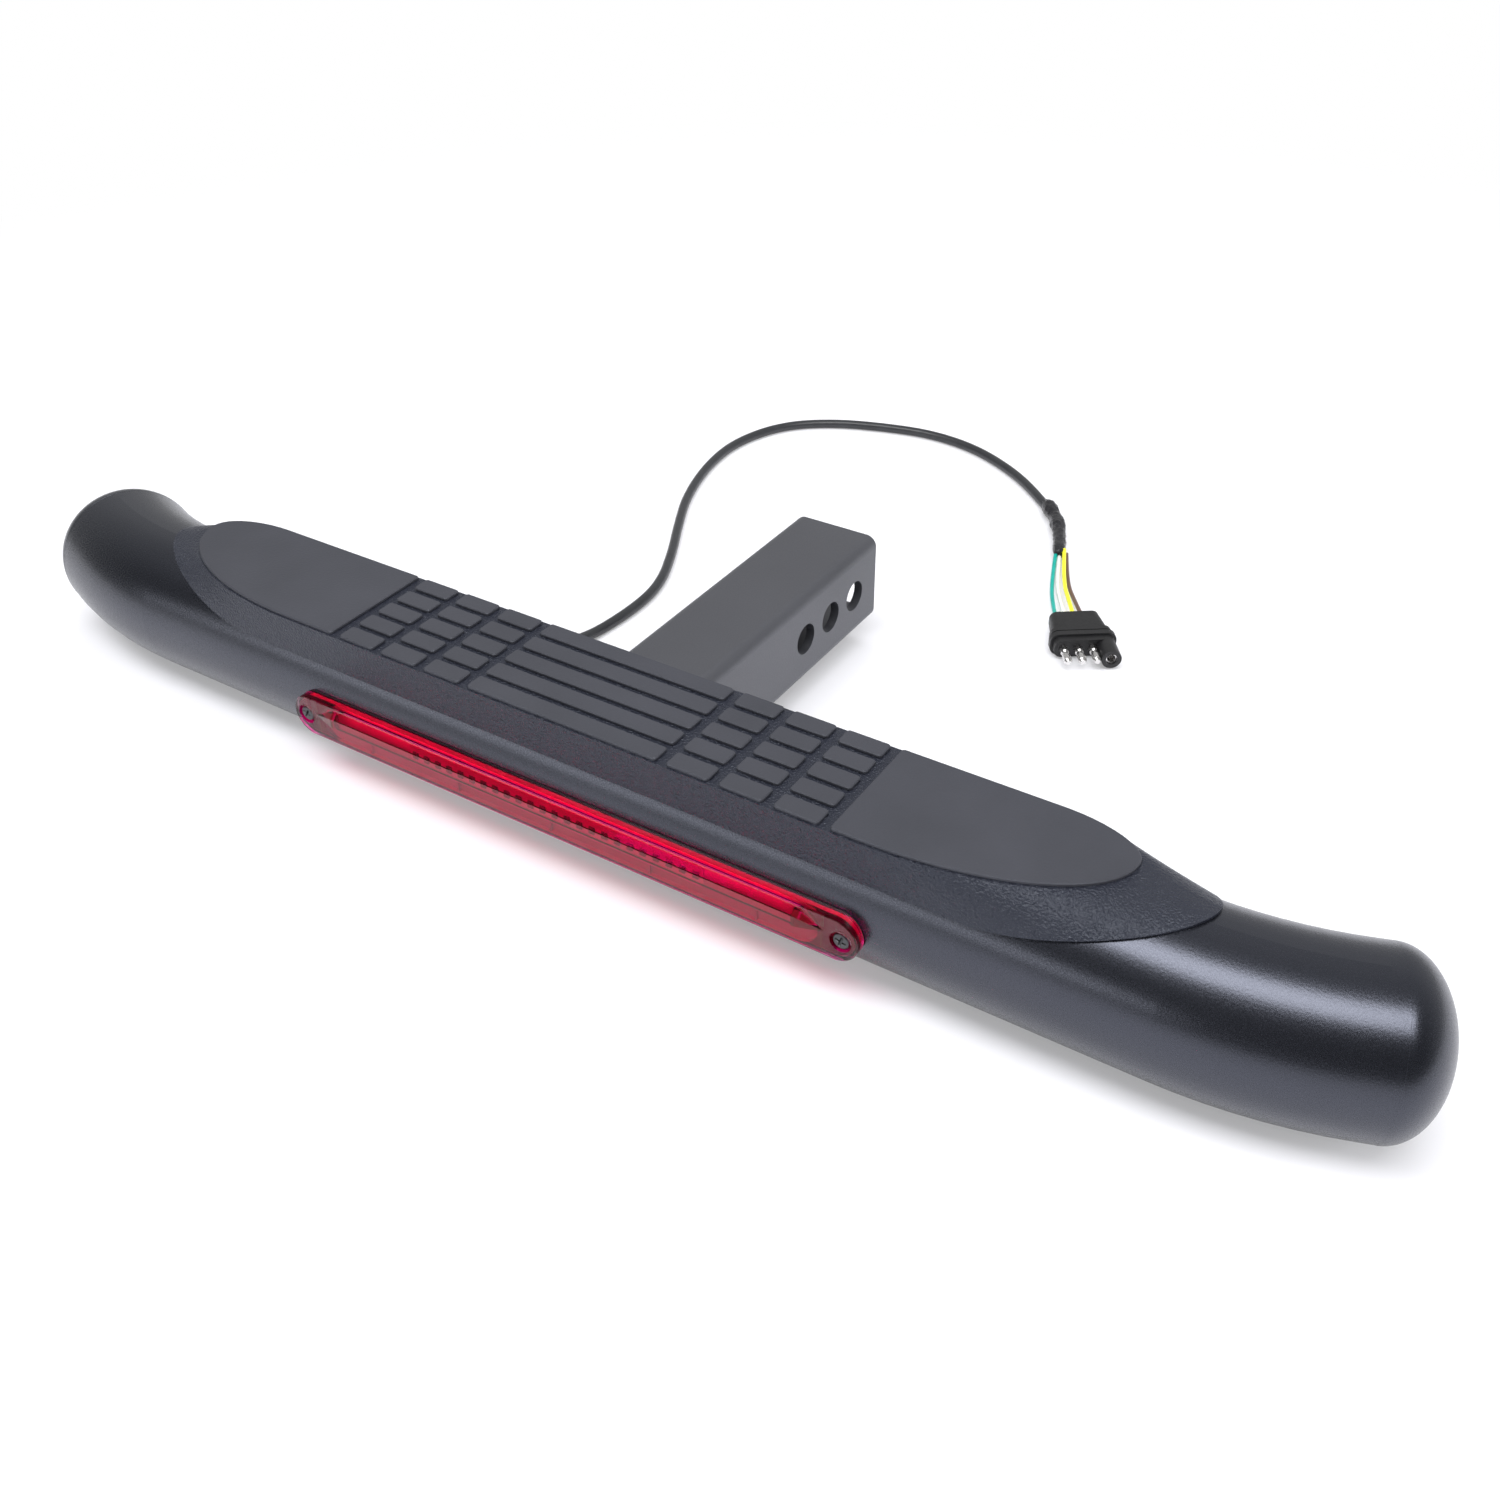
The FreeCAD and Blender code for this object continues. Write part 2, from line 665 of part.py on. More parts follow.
def connector_body():
    """A moulded flat body with two grip ridges and one shrouded socket."""
    thick = connector_thick
    front = connector_front_width
    rear = connector_rear_width
    rear_part = connector_slab(front - 4, rear, 8, connector_depth, thick - 2, 4.0)
    pieces = [rear_part,
              connector_slab(front - 1.5, front - 2.5, 10, 13.5, thick - 1, 4.5),
              connector_slab(front, front, 4.5, 8.5, thick, 5.0),
              connector_slab(front - 3, front - 3, 0, 5, thick - 2.5, 4.0)]
    body = pieces[0].fuse(pieces[1:])
    x = 1.5 * connector_pitch
    shroud = rod(socket_d / 2, V(x, -socket_reach, 0), V(0, 1, 0), socket_reach + 2)
    body = body.fuse(shroud).removeSplitter()
    cuts = [rod(bullet_d / 2 + 0.9, V(x, -socket_reach, 0), V(0, 1, 0), socket_reach + 1)]
    cuts += [rod(bullet_d / 2, V((k - 1.5) * connector_pitch, -1, 0), V(0, 1, 0), 7) for k in range(3)]
    body = connector_frame(body.cut(cuts))
    wires = [cord(wire_routes[name], wire_d, name + " in body") for name in sorted(wire_routes)]
    return body.cut(wires)


def bullet():
    """One bullet contact: a stem, a groove and a rounded nose."""
    r = bullet_d / 2
    profile = [V(0, 5.5, 0), V(r, 5.5, 0), V(r, -4, 0), V(0.7 * r, -4.8, 0), V(0.7 * r, -7, 0), V(r, -7.8, 0),
               V(r, -bullet_reach + 1.6, 0), V(0.6 * r, -bullet_reach, 0), V(0, -bullet_reach, 0)]
    return polygon_face(profile).revolve(V(0, 0, 0), V(0, 1, 0), 360)


def connector_pins():
    pins = []
    for k in range(3):
        pin = bullet()
        pin.translate(V((k - 1.5) * connector_pitch, 0, 0))
        pins.append(pin)
    return connector_frame(Part.makeCompound(pins))


def socket_contact():
    """The sleeve contact inside the shrouded socket."""
    x = 1.5 * connector_pitch
    outer = rod(bullet_d / 2 + 0.9, V(x, -socket_reach + 1.5, 0), V(0, 1, 0), socket_reach - 0.5)
    bore = rod(bullet_d / 2, V(x, -socket_reach, 0), V(0, 1, 0), socket_reach)
    return connector_frame(outer.cut(bore))


def main():
    os.makedirs("parts", exist_ok=True)
    save("bar_tube", bar_tube())
    save("end_cap_left", end_cap(-1))
    save("end_cap_right", end_cap(1))
    save("shank_tube", shank_tube())
    save("shank_weld", shank_weld())
    save("step_pad", step_pad())
    save("light_gasket", light_gasket())
    save("light_base", light_base())
    save("light_lens", light_lens())
    save("light_reflector", light_reflector())
    save("light_board", light_board())
    save("light_leds", light_leds())
    save("light_screw_left", light_screw(-1))
    save("light_screw_right", light_screw(1))
    save("cable_grommet", cable_grommet())
    save("light_lead", cord(lead_route, lead_d, "light lead"), False)
    save("cable", cord(cable_route, cable_d, "cable"), False)
    save("tape_wrap", tape_wrap(), False)
    for name in wire_routes:
        save(name, cord(wire_routes[name], wire_d, name), False)
    save("connector_body", connector_body(), False)
    save("connector_pins", connector_pins(), False)
    save("socket_contact", socket_contact(), False)


main()
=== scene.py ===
import bpy
import bmesh
from math import cos, exp, pi, radians, sin
from mathutils import Matrix, Vector, noise


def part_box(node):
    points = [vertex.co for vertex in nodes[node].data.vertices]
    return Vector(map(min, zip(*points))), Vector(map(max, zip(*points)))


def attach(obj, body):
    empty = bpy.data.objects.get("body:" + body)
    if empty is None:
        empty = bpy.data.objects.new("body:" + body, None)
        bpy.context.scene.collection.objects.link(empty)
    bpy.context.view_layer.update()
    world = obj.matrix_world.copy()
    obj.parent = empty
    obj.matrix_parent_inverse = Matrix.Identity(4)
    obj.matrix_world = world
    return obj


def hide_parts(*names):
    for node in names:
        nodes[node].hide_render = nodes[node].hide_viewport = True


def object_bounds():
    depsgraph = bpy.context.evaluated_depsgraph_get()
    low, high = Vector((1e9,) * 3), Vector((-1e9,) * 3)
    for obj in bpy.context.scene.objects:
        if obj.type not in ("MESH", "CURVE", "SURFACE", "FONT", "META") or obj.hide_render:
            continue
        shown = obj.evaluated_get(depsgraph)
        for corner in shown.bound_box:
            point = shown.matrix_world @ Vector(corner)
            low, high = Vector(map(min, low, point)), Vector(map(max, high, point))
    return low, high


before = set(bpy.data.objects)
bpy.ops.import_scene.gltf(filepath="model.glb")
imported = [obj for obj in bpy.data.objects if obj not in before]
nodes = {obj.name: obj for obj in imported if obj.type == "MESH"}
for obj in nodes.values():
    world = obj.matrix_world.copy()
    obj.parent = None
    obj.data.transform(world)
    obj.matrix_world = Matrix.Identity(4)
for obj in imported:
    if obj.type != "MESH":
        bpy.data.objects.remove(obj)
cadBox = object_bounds()
print("frame loaded,", len(nodes), "nodes")

# camera, set to the photograph's view of the step

cameraSettings = {
    "place": (0.3720, -0.6037, 0.4326),  # metres
    "azimuth": 33.51,  # degrees from straight ahead of the bar
    "elevation": 36.82,
    "roll": -1.06,
    "focalPixels": 1528.58,  # for a picture 1500 pixels wide
    "pictureWidth": 1500,
    "sensorWidth": 36.0,  # mm
    "clip": (0.01, 50),
}


def makeCamera(settings):
    azimuth, elevation, roll = (radians(settings[key]) for key in ("azimuth", "elevation", "roll"))
    back = Vector((sin(azimuth) * cos(elevation), -cos(azimuth) * cos(elevation), sin(elevation)))
    right = Vector((0, 0, 1)).cross(back).normalized()
    up = back.cross(right)
    rolledRight = cos(roll) * right + sin(roll) * up
    rolledUp = cos(roll) * up - sin(roll) * right
    data = bpy.data.cameras.new("camera")
    data.sensor_width = settings["sensorWidth"]
    data.lens = settings["focalPixels"] * settings["sensorWidth"] / settings["pictureWidth"]
    data.clip_start, data.clip_end = settings["clip"]
    camera = bpy.data.objects.new("camera", data)
    turn = Matrix((rolledRight, rolledUp, back)).transposed().to_4x4()
    camera.matrix_world = Matrix.Translation(settings["place"]) @ turn
    bpy.context.scene.collection.objects.link(camera)
    bpy.context.scene.camera = camera


makeCamera(cameraSettings)
bpy.context.view_layer.update()
print("camera placed")

# tools shared by the pieces


def linkPiece(name, data, replaced=()):
    piece = bpy.data.objects.new(name, data)
    bpy.context.scene.collection.objects.link(piece)
    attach(piece, "root")
    if replaced:
        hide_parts(*replaced)
    return piece


def splineCurve(name, route, radius):
    # the route's points are the control points of one smooth spline
    curve = bpy.data.curves.new(name, "CURVE")
    curve.dimensions = "3D"
    curve.resolution_u = 14
    spline = curve.splines.new("NURBS")
    spline.points.add(len(route) - 1)
    for point, place in zip(spline.points, route):
        point.co = (*place, 1)
        point.radius = radius
    spline.order_u = 3
    spline.use_endpoint_u = True
    curve.bevel_depth = 1 if radius else 0  # times each point's own radius
    curve.bevel_resolution = 5
    curve.use_fill_caps = True
    return curve


def splinePoints(name, route):
    # points along the smooth line, read from the spline itself
    probe = bpy.data.objects.new(name, splineCurve(name, route, 0))
    bpy.context.scene.collection.objects.link(probe)
    bpy.context.view_layer.update()
    shown = probe.evaluated_get(bpy.context.evaluated_depsgraph_get())
    mesh = bpy.data.meshes.new_from_object(shown)
    points = [vertex.co.copy() for vertex in mesh.vertices]
    bpy.data.objects.remove(probe)
    bpy.data.meshes.remove(mesh)
    return points


def ringMesh(name, rings):
    # joins rings of equal point count into a closed skin
    shape = bmesh.new()
    rows = [[shape.verts.new(place) for place in ring] for ring in rings]
    count = len(rows[0])
    for first, second in zip(rows, rows[1:]):
        for k in range(count):
            after = (k + 1) % count
            shape.faces.new((first[k], first[after], second[after], second[k]))
    shape.faces.new(rows[0])
    shape.faces.new(rows[-1])
    bmesh.ops.recalc_face_normals(shape, faces=shape.faces)
    for face in shape.faces:
        face.smooth = True
    mesh = bpy.data.meshes.new(name)
    shape.to_mesh(mesh)
    shape.free()
    return mesh


# trailer cable, from the grommet behind the bar to the wrapped joint

cable = {
    "radius": 0.003,
    "length": 0.649,
    "route": [
        (-0.112, -0.138, -0.014), (-0.112, -0.098, -0.014), (-0.110, -0.048, -0.0351),
        (-0.105, -0.006, -0.0351), (-0.108, 0.027, -0.0351), (-0.1235, 0.0615, -0.0351),
        (-0.1415, 0.094, -0.0351), (-0.1595, 0.1295, -0.0351), (-0.173, 0.174, -0.0351),
        (-0.176, 0.214, -0.0351), (-0.1625, 0.2525, -0.0351), (-0.1345, 0.275, -0.0351),
        (-0.101, 0.2875, -0.0351), (-0.066, 0.295, -0.0351), (-0.031, 0.2905, -0.0351),
        (0.001, 0.2755, -0.0351), (0.028, 0.2565, -0.0351), (0.0495, 0.2355, -0.0351),
    ],
}
cablePiece = linkPiece("trailerCable", splineCurve("trailerCable", cable["route"], cable["radius"]),
                       ["cable"])

# the four thin wires between the wrapped joint and the connector

wires = {
    "radius": 0.0012,
    "lengths": {"green": 0.0861, "white": 0.0831, "yellow": 0.0839, "brown": 0.0821},
    "green": [(0.0776, 0.184, -0.0334), (0.089, 0.152, -0.0369), (0.101, 0.127, -0.0354),
              (0.1124, 0.1059, -0.0316)],
    "white": [(0.0804, 0.1832, -0.0348), (0.092, 0.1525, -0.0369), (0.105, 0.130, -0.0346),
              (0.1168, 0.1091, -0.0316)],
    "yellow": [(0.082, 0.186, -0.0318), (0.095, 0.155, -0.0344), (0.108, 0.133, -0.0324),
               (0.1209, 0.112, -0.0316)],
    "brown": [(0.084, 0.1854, -0.034), (0.0955, 0.160, -0.0369), (0.109, 0.139, -0.035),
              (0.1254, 0.1152, -0.0316)],
}
wireColours = ("green", "white", "yellow", "brown")
wirePieces = {}
for colour in wireColours:
    data = splineCurve(colour + "Wire", wires[colour], wires["radius"])
    wirePieces[colour] = linkPiece(colour + "Wire", data, ["wire_" + colour])

# crumpled tape round the joint

tape = {
    "route": [(0.047, 0.238, -0.0328), (0.060, 0.224, -0.0328), (0.072, 0.203, -0.0328),
              (0.0805, 0.181, -0.0334)],
    "radius": 0.0044,
    "endRadius": 0.0034,
    "bulgePlaces": (0.12, 0.46),  # shares of the length
    "bulgeRise": 0.0009,
    "bulgeWidth": 0.10,
    "creaseDepth": 0.0007,
    "creaseSize": 0.0035,
    "creaseForm": (0.9, 2.1, 3, 0.9, 2.0),  # dimension, spacing, layers, offset, gain
    "taperShare": 0.06,  # share of the length over which each end thins
    "floor": -0.0380,
    "turns": 40,
}


def tapeSkin(settings):
    line = splinePoints("tapeLine", settings["route"])
    rings = []
    for index, centre in enumerate(line):
        share = index / (len(line) - 1)
        ahead = (line[min(index + 1, len(line) - 1)] - line[max(index - 1, 0)]).normalized()
        side = ahead.cross(Vector((0, 0, 1))).normalized()
        up = side.cross(ahead)
        swell = sum(exp(-((share - place) / settings["bulgeWidth"]) ** 2)
                    for place in settings["bulgePlaces"])
        taper = max(0, 1 - min(share, 1 - share) / settings["taperShare"])
        radius = settings["radius"] + settings["bulgeRise"] * swell
        radius += (settings["endRadius"] - radius) * taper
        ring = []
        for k in range(settings["turns"]):
            angle = 2 * pi * k / settings["turns"]
            place = centre + radius * (cos(angle) * side + sin(angle) * up)
            crease = noise.ridged_multi_fractal(place / settings["creaseSize"], *settings["creaseForm"])
            place -= (place - centre).normalized() * settings["creaseDepth"] * crease
            place.z = max(place.z, settings["floor"])
            ring.append(place)
        rings.append(ring)
    return ringMesh("tapeWrap", rings)


tapePiece = linkPiece("tapeWrap", tapeSkin(tape), ["tape_wrap"])

print("cable, wires and tape laid")

# pan-head screws that hold the light, with a cross recess

screw = {
    "headRise": 0.0024,
    "shankRadius": 0.002,
    "edgeRound": 0.0009,
    "armLength": 0.0027,
    "armWidth": 0.0013,
    "recessDepth": 0.0018,
    "recessWall": 0.00018,
    "recessSlope": 0.4,
    "crownFall": 0.0003,
    "tipLength": 0.001,
    "tipShare": 0.6,  # of the shank's radius
    "segments": 96,
    "steps": 34,
}


def recessAt(across, along, settings):
    deepest = 0
    for width, reach in ((abs(across), abs(along)), (abs(along), abs(across))):
        wall = max(0, min(1, (settings["armWidth"] / 2 - width) / settings["recessWall"]))
        slope = max(0, 1 - reach / settings["armLength"]) ** settings["recessSlope"]
        deepest = max(deepest, wall * slope)
    return settings["recessDepth"] * deepest


def screwMesh(name, box, settings, turn):
    low, high = box
    centre = (low + high) / 2
    radius = (high.x - low.x) / 2
    rings = []
    for step in range(1, settings["steps"] + 1):
        distance = radius * step / settings["steps"]
        inRound = max(0, distance - (radius - settings["edgeRound"])) / settings["edgeRound"]
        fall = settings["edgeRound"] * (1 - (1 - inRound ** 2) ** 0.5)
        fall += settings["crownFall"] * (distance / radius) ** 2
        ring = []
        for k in range(settings["segments"]):
            angle = 2 * pi * k / settings["segments"]
            across, along = distance * cos(angle), distance * sin(angle)
            spun = angle + turn
            dip = recessAt(distance * cos(spun), distance * sin(spun), settings)
            ring.append(Vector((centre.x + across, low.y + fall + dip, centre.z + along)))
        rings.append(ring)
    neck = low.y + settings["headRise"]
    tail = ((radius, neck), (settings["shankRadius"], neck),
            (settings["shankRadius"], high.y - settings["tipLength"]),
            (settings["shankRadius"] * settings["tipShare"], high.y))
    for distance, depth in tail:
        rings.append([Vector((centre.x + distance * cos(2 * pi * k / settings["segments"]), depth,
                              centre.z + distance * sin(2 * pi * k / settings["segments"])))
                      for k in range(settings["segments"])])
    return ringMesh(name, rings)


screwTurns = {"left": 0.5, "right": 0.28}  # radians
screwPieces = []
for side, turn in screwTurns.items():
    node = "light_screw_" + side
    mesh = screwMesh(side + "Screw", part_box(node), screw, turn)
    screwPieces.append(linkPiece(side + "Screw", mesh, [node]))
print("screws made")

# flush weld where each end cap meets the bar

capWeld = {
    "place": (0.352572, -0.150058, 0),  # the right-hand one, the left mirrors it
    "turn": 20.0,  # degrees
    "radius": 0.03806,
    "depth": 0.0005,
    "width": 0.0005,
    "toe": 0.0001,
    "segments": 144,
}


def weldRing(name, settings, side):
    turn = radians(settings["turn"])
    along = Vector((side * cos(turn), sin(turn), 0))
    across = Vector((-side * sin(turn), cos(turn), 0))
    middle = Vector(settings["place"])
    middle.x *= side
    shape = bmesh.new()
    rows = []
    for k in range(settings["segments"]):
        angle = 2 * pi * k / settings["segments"]
        out = cos(angle) * across + sin(angle) * Vector((0, 0, 1))
        corners = ((0, settings["radius"]), (settings["width"], settings["radius"]),
                   (0, settings["radius"] - settings["depth"] + settings["toe"]))
        rows.append([shape.verts.new(middle + depth * along + reach * out) for depth, reach in corners])
    for first, second in zip(rows, rows[1:] + rows[:1]):
        for k in range(3):
            after = (k + 1) % 3
            shape.faces.new((first[k], first[after], second[after], second[k]))
    bmesh.ops.recalc_face_normals(shape, faces=shape.faces)
    mesh = bpy.data.meshes.new(name)
    shape.to_mesh(mesh)
    shape.free()
    return mesh


capWelds = [linkPiece(name, weldRing(name, capWeld, side))
            for name, side in (("leftCapWeld", -1), ("rightCapWeld", 1))]
print("cap welds made")

# materials


def startMaterial(name, colour, roughness, metallic=0.0):
    material = bpy.data.materials.new(name)
    material.use_nodes = True
    shader = material.node_tree.nodes["Principled BSDF"]
    shader.inputs["Base Color"].default_value = (*colour, 1)
    shader.inputs["Roughness"].default_value = roughness
    shader.inputs["Metallic"].default_value = metallic
    return material, shader


def addNode(material, kind, **values):
    node = material.node_tree.nodes.new(kind)
    for name, value in values.items():
        node.inputs[name.replace("_", " ")].default_value = value
    return node


def join(material, source, target):
    material.node_tree.links.new(source, target)


def placeOf(material):
    return addNode(material, "ShaderNodeTexCoord").outputs["Object"]


def noiseOf(material, scale, detail=3.0, rough=0.5):
    texture = addNode(material, "ShaderNodeTexNoise", Scale=scale, Detail=detail, Roughness=rough)
    join(material, placeOf(material), texture.inputs["Vector"])
    return texture.outputs["Fac"]


def rangeOf(material, source, low, high, start=0.3, stop=0.7):
    # the defaults are the span in which most of a noise texture's values lie
    change = addNode(material, "ShaderNodeMapRange")
    for name, value in (("From Min", start), ("From Max", stop), ("To Min", low), ("To Max", high)):
        change.inputs[name].default_value = value
    join(material, source, change.inputs["Value"])
    return change.outputs["Result"]


def blendColours(material, factor, first, second):
    mix = material.node_tree.nodes.new("ShaderNodeMix")
    mix.data_type = "RGBA"
    mix.inputs["A"].default_value = (*first, 1)
    mix.inputs["B"].default_value = (*second, 1)
    join(material, factor, mix.inputs["Factor"])
    return mix.outputs["Result"]


waveScale = 0.314  # a wave texture's scale times the pitch of its bands in metres


def wavesOf(material, pitch, distortion):
    waves = addNode(material, "ShaderNodeTexWave", Scale=waveScale / pitch, Distortion=distortion,
                    Detail=2.0)
    waves.bands_direction = "DIAGONAL"
    join(material, placeOf(material), waves.inputs["Vector"])
    return waves.outputs["Fac"]


def mathOf(material, operation, first, second=None):
    step = material.node_tree.nodes.new("ShaderNodeMath")
    step.operation = operation
    join(material, first, step.inputs[0])
    if second:
        join(material, second, step.inputs[1])
    return step.outputs[0]


def addBump(material, shader, heights):
    # each height is (socket, strength, distance), laid one over the other
    normal = None
    for source, strength, distance in heights:
        bump = addNode(material, "ShaderNodeBump", Strength=strength, Distance=distance)
        join(material, source, bump.inputs["Height"])
        if normal:
            join(material, normal, bump.inputs["Normal"])
        normal = bump.outputs["Normal"]
    join(material, normal, shader.inputs["Normal"])


def paintCoat(name, look):
    material, shader = startMaterial(name, look["colour"], look["roughness"])
    shader.inputs["Specular IOR Level"].default_value = look["gloss"]
    shader.inputs["Specular Tint"].default_value = (*look["sheenTint"], 1)
    drift = rangeOf(material, noiseOf(material, look["driftScale"], 4), 0, 1)
    join(material, blendColours(material, drift, look["colour"], look["paler"]), shader.inputs["Base Color"])
    low, high = look["roughness"] - look["roughSpread"], look["roughness"] + look["roughSpread"]
    speckle = rangeOf(material, noiseOf(material, look["peelScale"] * look["speckleRatio"], 1), low, high)
    join(material, speckle, shader.inputs["Roughness"])
    peel = noiseOf(material, look["peelScale"], 2)
    addBump(material, shader, [(peel, look["peelStrength"], look["peelDepth"])])
    return material


coats = {
    "bar": {"colour": (0.004, 0.0045, 0.006), "paler": (0.007, 0.0075, 0.010), "roughness": 0.28,
            "gloss": 1.0, "sheenTint": (0.78, 0.82, 1.0), "roughSpread": 0.04, "driftScale": 9,
            "peelScale": 1000, "peelStrength": 0.2, "peelDepth": 0.0002, "speckleRatio": 1.7},
    "shank": {"colour": (0.038, 0.039, 0.045), "paler": (0.045, 0.046, 0.053), "roughness": 0.44,
              "gloss": 1.0, "sheenTint": (0.9, 0.92, 1.0), "roughSpread": 0.05, "driftScale": 14,
              "peelScale": 900, "peelStrength": 0.2, "peelDepth": 0.0002, "speckleRatio": 1.7},
}
barCoat = paintCoat("barPowderCoat", coats["bar"])
shankCoat = paintCoat("shankPowderCoat", coats["shank"])

weld = {"ripplePitch": 0.0022, "distortion": 2.5, "strength": 0.6, "rippleDepth": 0.0005}


def weldCoat(look, settings):
    material = paintCoat("weldBeadCoat", look)
    shader = material.node_tree.nodes["Principled BSDF"]
    ripple = wavesOf(material, settings["ripplePitch"], settings["distortion"])
    peel = noiseOf(material, look["peelScale"], 2)
    addBump(material, shader, [(ripple, settings["strength"], settings["rippleDepth"]),
                               (peel, look["peelStrength"], look["peelDepth"])])
    return material


weldMaterial = weldCoat(coats["shank"], weld)

pad = {
    "colour": (0.038, 0.039, 0.047),
    "paler": (0.046, 0.047, 0.057),
    # the skirt's own darker colour, with a painted bluish sheen mixed into it
    "skirtColourAndSheen": (0.018, 0.020, 0.030),
    "skirtTop": 0.0403,  # metres, the skirt lies below this and the plateau above
    "skirtBlend": 0.0002,
    "sheenTint": (0.84, 0.89, 1.0),
    "roughness": 0.55,
    "skirtRoughness": 0.35,
    "driftScale": 22,
    "grainScale": 900,
    "grainDepth": 0.0009,
    "skirtGrain": 1.0,
    "topGrain": 0.12,
}


def padPlastic(look):
    material, shader = startMaterial("padPlastic", look["colour"], look["roughness"])
    shader.inputs["Specular Tint"].default_value = (*look["sheenTint"], 1)
    axes = addNode(material, "ShaderNodeSeparateXYZ")
    join(material, placeOf(material), axes.inputs["Vector"])
    low, high = look["skirtTop"] - look["skirtBlend"], look["skirtTop"] + look["skirtBlend"]
    skirt = rangeOf(material, axes.outputs["Z"], 1, 0, low, high)
    drift = rangeOf(material, noiseOf(material, look["driftScale"], 5), 0, 1)
    top = blendColours(material, drift, look["colour"], look["paler"])
    # the skirt takes its darker colour with the painted bluish sheen
    whole = blendColours(material, skirt, look["colour"], look["skirtColourAndSheen"])
    join(material, top, whole.node.inputs["A"])
    join(material, whole, shader.inputs["Base Color"])
    rough = rangeOf(material, skirt, look["roughness"], look["skirtRoughness"], 0, 1)
    join(material, rough, shader.inputs["Roughness"])
    addBump(material, shader, [(noiseOf(material, look["grainScale"], 2), 1.0, look["grainDepth"])])
    bump = shader.inputs["Normal"].links[0].from_node
    grain = rangeOf(material, skirt, look["topGrain"], look["skirtGrain"], 0, 1)
    join(material, grain, bump.inputs["Strength"])
    return material


padMaterial = padPlastic(pad)

lens = {
    "colour": (0.84, 0.002, 0.17),
    "earPaintedReflection": (0.88, 0.58, 0.66),  # painted reflection: the ears are painted paler and greyer for the white surroundings mirrored on their front faces
    "tipColour": (0.16, 0.002, 0.008),  # and the ridge's solid tips darker
    "shadowTint": (0.95, 0.16, 0.40),
    "earShadow": (0.95, 0.66, 0.74),
    "roughness": 0.05,
    "index": 1.49,
    "edgeRound": 0.0005,
    "edgeSteps": 3,
    "edgeAngle": 28,  # degrees, edges sharper than this are rounded
    "rippleScale": 90,
    "rippleStrength": 0.04,
    "rippleDepth": 0.0004,
    "ridgeFront": -0.2087,
    "tipFrom": 0.1308,
    "tipTo": 0.1432,
    "earFrom": 0.1450,
    "earFace": -0.2083,  # metres, the ears' front skin lies before this
    "tipBlend": 0.0005,
    "faceBlend": 0.0002,
}


def lensPlastic(look):
    # light passes through to the tray behind without being lost in the clear wall
    material, shader = startMaterial("redLens", look["colour"], look["roughness"])
    shader.inputs["Transmission Weight"].default_value = 1.0
    shader.inputs["IOR"].default_value = look["index"]
    axes = addNode(material, "ShaderNodeSeparateXYZ")
    join(material, placeOf(material), axes.inputs["Vector"])
    outward = mathOf(material, "ABSOLUTE", axes.outputs["X"])
    inTip = rangeOf(material, outward, 0, 1, look["tipFrom"] - look["tipBlend"], look["tipFrom"])
    beforeEar = rangeOf(material, outward, 1, 0, look["tipTo"], look["earFrom"])
    onRidge = rangeOf(material, axes.outputs["Y"], 1, 0, look["ridgeFront"] - look["faceBlend"],
                      look["ridgeFront"])
    tip = mathOf(material, "MULTIPLY", mathOf(material, "MULTIPLY", inTip, beforeEar), onRidge)
    behindFace = rangeOf(material, axes.outputs["Y"], 0, 1, look["earFace"],
                         look["earFace"] + look["faceBlend"])
    notEar = mathOf(material, "MAXIMUM", beforeEar, behindFace)
    # painted reflection: the ears take the paler colour that stands for the mirrored white surroundings
    body = blendColours(material, notEar, look["earPaintedReflection"], look["colour"])
    tint = blendColours(material, tip, look["colour"], look["tipColour"])
    join(material, body, tint.node.inputs["A"])
    join(material, tint, shader.inputs["Base Color"])
    ripple = noiseOf(material, look["rippleScale"], 2)
    addBump(material, shader, [(ripple, look["rippleStrength"], look["rippleDepth"])])
    clear = addNode(material, "ShaderNodeBsdfTransparent")
    shadow = blendColours(material, notEar, look["earShadow"], look["shadowTint"])
    join(material, shadow, clear.inputs["Color"])
    path = addNode(material, "ShaderNodeLightPath")
    mix = addNode(material, "ShaderNodeMixShader")
    join(material, path.outputs["Is Shadow Ray"], mix.inputs["Fac"])
    join(material, shader.outputs["BSDF"], mix.inputs[1])
    join(material, clear.outputs["BSDF"], mix.inputs[2])
    join(material, mix.outputs["Shader"], material.node_tree.nodes["Material Output"].inputs["Surface"])
    return material


lensMaterial = lensPlastic(lens)
edges = nodes["light_lens"].modifiers.new("edgeRound", "BEVEL")
edges.width = lens["edgeRound"]
edges.segments = lens["edgeSteps"]
edges.limit_method = "ANGLE"
edges.angle_limit = radians(lens["edgeAngle"])


moulding = {
    "drift": 0.25,  # how much paler the palest patches are
    "driftRatio": 12,  # patches are this many times coarser than the grain
    "speckleRatio": 3,
    "roughSpread": 0.05,
    "grainDepth": 0.0002,
}


def mouldedPlastic(name, colour, roughness, grainScale, grain):
    material, shader = startMaterial(name, colour, roughness)
    paler = [min(1, part * (1 + moulding["drift"])) for part in colour]
    shade = rangeOf(material, noiseOf(material, grainScale / moulding["driftRatio"], 3), 0, 1)
    join(material, blendColours(material, shade, colour, paler), shader.inputs["Base Color"])
    low, high = roughness - moulding["roughSpread"], roughness + moulding["roughSpread"]
    speckle = rangeOf(material, noiseOf(material, grainScale / moulding["speckleRatio"]), low, high)
    join(material, speckle, shader.inputs["Roughness"])
    addBump(material, shader, [(noiseOf(material, grainScale, 2), grain, moulding["grainDepth"])])
    return material


